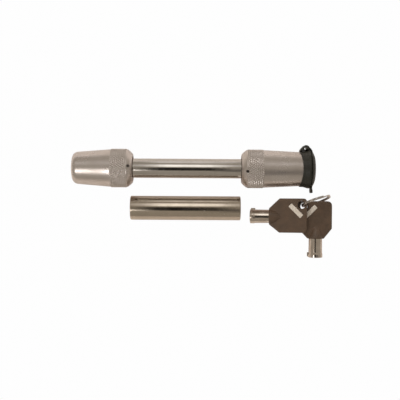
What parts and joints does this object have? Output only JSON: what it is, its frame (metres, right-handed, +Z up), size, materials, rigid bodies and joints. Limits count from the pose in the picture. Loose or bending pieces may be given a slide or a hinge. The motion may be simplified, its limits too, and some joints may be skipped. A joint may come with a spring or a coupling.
{
  "type": "hitch pin lock",
  "caption": "Two-headed steel hitch pin with a tubular-key lock head, rubber dust cap, adapter sleeve and keys on a split ring.",
  "frame": {"origin": "middle of the bare shank, on the pin's axis", "axes": "+X along the pin from the fixed head to the lock head, +Z up from the surface the set lies on"},
  "size_m": [0.172, 0.0743, 0.0256],
  "materials": {
    "polished_steel": "polished, faint turning lines",
    "sleeve_steel": "polished, warmer than the shank",
    "head_steel": "satin turned stainless, diamond knurl",
    "dark_steel": "plain oiled",
    "plated_lock": "nickel plate",
    "plated_tube": "bright nickel plate",
    "ring_steel": "bright spring steel",
    "brass": "plain",
    "seal_rubber": "smooth",
    "cap_rubber": "satin moulded",
    "bow_plastic": "dark brown, fine moulded texture",
    "label_plastic": "off-white insert, blank"
  },
  "bodies": {
    "pin": {"shank": "polished_steel", "fixed_head": "head_steel", "head_cross_pin": "dark_steel"},
    "lock_head": {"lock_shell": "head_steel", "mouth_bushing": "dark_steel", "bushing_pin": "dark_steel", "shank_o_ring": "seal_rubber", "lock_barrel": "plated_lock", "barrel_pin": "dark_steel", "tumbler_bushing": "brass", "driver_pins": "brass", "tumbler_springs": "dark_steel", "cap_collar": "cap_rubber", "cap_hinge_strap": "cap_rubber"},
    "plug": {"lock_plug": "plated_lock", "key_pins": "brass", "lock_cam": "dark_steel", "cam_clip": "dark_steel"},
    "bolt": {"locking_bolt": "dark_steel"},
    "lid": {"cap_lid": "cap_rubber"},
    "sleeve": {"adapter_sleeve": "sleeve_steel"},
    "key_2": {"key_2_bow": "bow_plastic", "key_2_tube": "plated_tube", "key_2_label": "label_plastic", "key_2_rivet": "dark_steel"},
    "ring": {"key_ring": "ring_steel"},
    "key_1": {"key_1_bow": "bow_plastic", "key_1_tube": "plated_tube", "key_1_label": "label_plastic", "key_1_rivet": "dark_steel"}
  },
  "joints": [
    {"name": "head_slide", "type": "slide", "parent": "pin", "child": "lock_head", "axis": [1, 0, 0], "range_m": [0, 0.1]},
    {"name": "key_turn", "type": "hinge", "parent": "lock_head", "child": "plug", "pos_m": [0.07, 0, 0], "axis": [1, 0, 0], "range_deg": [0, 90]},
    {"name": "bolt_slide", "type": "slide", "parent": "lock_head", "child": "bolt", "axis": [0, 0, -1], "range_m": [0, 0.00125]},
    {"name": "lid_hinge", "type": "hinge", "parent": "lock_head", "child": "lid", "pos_m": [0.0774, 0.0134, 0], "axis": [0, 0, 1], "range_deg": [0, 120], "deforming": ["cap_hinge_strap"]},
    {"name": "sleeve_lift", "type": "slide", "parent": "pin", "child": "sleeve", "axis": [0, 0, 1], "range_m": [0, 0.06]},
    {"name": "keys_lift", "type": "slide", "parent": "pin", "child": "key_2", "axis": [0, 0, 1], "range_m": [0, 0.06]},
    {"name": "ring_turn", "type": "hinge", "parent": "key_2", "child": "ring", "pos_m": [0.0853, -0.0209, -0.00274], "axis": [-0.3033, 0.9336, -0.1908], "range_deg": [0, 40]},
    {"name": "key_1_swing", "type": "hinge", "parent": "ring", "child": "key_1", "pos_m": [0.0853, -0.0209, -0.00274], "axis": [-0.3033, 0.9336, -0.1908], "range_deg": [0, 100]}
  ],
  "couplings": [
    {"joint": "bolt_slide", "follows": "key_turn", "m_per_rad": 0.00079577}
  ]
}
